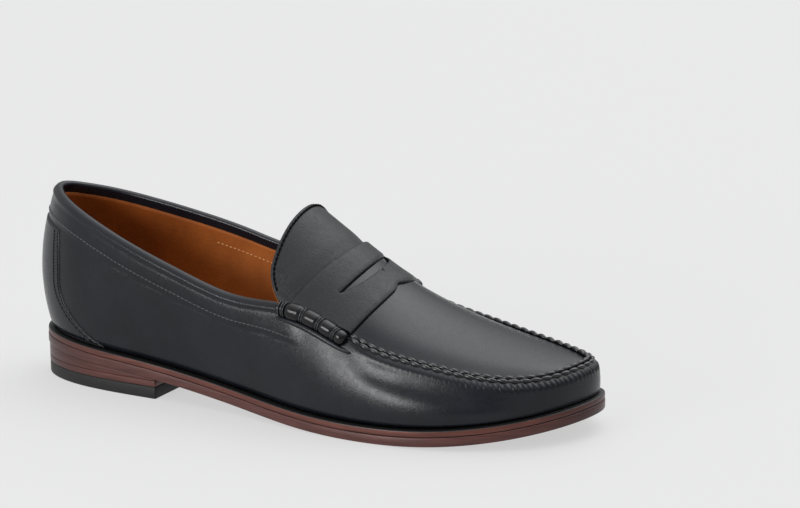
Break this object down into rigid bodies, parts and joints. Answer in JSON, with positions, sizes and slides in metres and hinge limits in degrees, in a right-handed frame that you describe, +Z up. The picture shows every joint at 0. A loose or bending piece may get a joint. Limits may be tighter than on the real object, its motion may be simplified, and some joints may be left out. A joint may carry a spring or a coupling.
{
  "type": "penny loafer",
  "caption": "Black leather penny loafer with a hand-sewn apron seam, slotted saddle strap, beef rolls, tan lining, burnished leather sole and stacked heel.",
  "frame": {"origin": "on the ground, under the middle of the shoe's bounding box", "axes": "+X towards the toe, +Y to the inner (medial) side, +Z up"},
  "size_m": [0.2955, 0.1014, 0.0959],
  "materials": {
    "upper_leather": "satin black box calf",
    "strap_leather": "grained black leather",
    "roll_leather": "polished black leather",
    "collar_leather": "matt black leather",
    "lining_leather": "tan lining leather",
    "welt_leather": "burnished mahogany",
    "sole_leather": "burnished mahogany",
    "heel_rubber": "matt",
    "black_cord": "waxed",
    "black_thread": "waxed",
    "fibreboard": "matt",
    "insole_board": "matt",
    "cork": "matt",
    "shank_steel": "brushed",
    "nail_brass": "dull"
  },
  "bodies": {
    "shoe": {"outsole": "sole_leather", "welt": "welt_leather", "shank": "shank_steel", "cork_filler": "cork", "insole": "insole_board", "sock_lining": "lining_leather", "heel_seat_lift": "sole_leather", "heel_lift": "sole_leather", "heel_top_piece": "heel_rubber", "heel_nails": "nail_brass", "vamp_wall": "upper_leather", "heel_foxing": "upper_leather", "heel_stiffener": "fibreboard", "toe_puff": "fibreboard", "heel_grip": "lining_leather", "quarter_lining_lateral": "lining_leather", "quarter_lining_medial": "lining_leather", "vamp_lining": "lining_leather", "collar_band": "collar_leather", "topline_binding": "collar_leather", "apron": "upper_leather", "apron_lining": "lining_leather", "saddle_strap": "strap_leather", "beef_roll_lateral": "roll_leather", "beef_roll_medial": "roll_leather", "roll_cord_lateral": "black_cord", "roll_cord_medial": "black_cord", "apron_seam": "roll_leather", "apron_stitches": "black_cord", "collar_stitches": "black_thread", "foxing_stitches": "black_thread"},
    "tongue": {"tongue": "strap_leather", "tongue_lining": "lining_leather", "tongue_stitches": "black_thread"}
  },
  "joints": [
    {"name": "tongue_lift", "type": "hinge", "parent": "shoe", "child": "tongue", "pos_m": [0.0264, -0.001, 0.0785], "axis": [0, 1, 0], "range_deg": [0, 20]}
  ]
}
